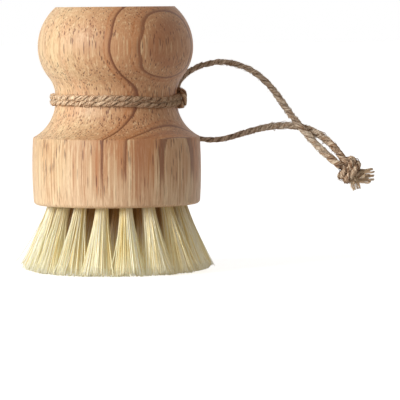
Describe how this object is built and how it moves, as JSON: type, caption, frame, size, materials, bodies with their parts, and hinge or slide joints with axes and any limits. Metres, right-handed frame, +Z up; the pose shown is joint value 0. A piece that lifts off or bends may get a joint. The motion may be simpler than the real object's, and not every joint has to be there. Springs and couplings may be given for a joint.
{
  "type": "palm brush",
  "caption": "Palm scrubbing brush: turned wooden knob handle with a waisted neck and round base, fanned plant-fibre tufts, and a twine hanging loop hitched round the neck.",
  "frame": {"origin": "on the handle's axis, on the plane that the bristle tips stand on", "axes": "+Z up along the handle's axis, towards the palm; -Y towards the viewer; the hanging loop lies on +X"},
  "size_m": [0.1044, 0.0547, 0.078],
  "materials": {
    "wood": "bare sanded",
    "bristle": "stiff plant fibre",
    "anchor_wire": "drawn flat wire",
    "twine": "laid natural jute"
  },
  "bodies": {
    "brush": {"handle": "wood", "anchor_wires": "anchor_wire", "tuft_centre": "bristle", "tuft_inner_01": "bristle", "tuft_inner_02": "bristle", "tuft_inner_03": "bristle", "tuft_inner_04": "bristle", "tuft_inner_05": "bristle", "tuft_inner_06": "bristle", "tuft_middle_01": "bristle", "tuft_middle_02": "bristle", "tuft_middle_03": "bristle", "tuft_middle_04": "bristle", "tuft_middle_05": "bristle", "tuft_middle_06": "bristle", "tuft_middle_07": "bristle", "tuft_middle_08": "bristle", "tuft_middle_09": "bristle", "tuft_middle_10": "bristle", "tuft_middle_11": "bristle", "tuft_outer_01": "bristle", "tuft_outer_02": "bristle", "tuft_outer_03": "bristle", "tuft_outer_04": "bristle", "tuft_outer_05": "bristle", "tuft_outer_06": "bristle", "tuft_outer_07": "bristle", "tuft_outer_08": "bristle", "tuft_outer_09": "bristle", "tuft_outer_10": "bristle", "tuft_outer_11": "bristle", "tuft_outer_12": "bristle", "tuft_outer_13": "bristle", "tuft_outer_14": "bristle", "tuft_outer_15": "bristle", "tuft_outer_16": "bristle", "tuft_outer_17": "bristle"},
    "string": {"neck_hitch": "twine", "loop_strand_upper": "twine", "loop_strand_lower": "twine", "end_knot": "twine"}
  },
  "joints": [
    {"name": "string_swivel", "type": "hinge", "parent": "brush", "child": "string", "pos_m": [0, 0, 0.0508], "axis": [0, 0, 1], "continuous": true}
  ]
}
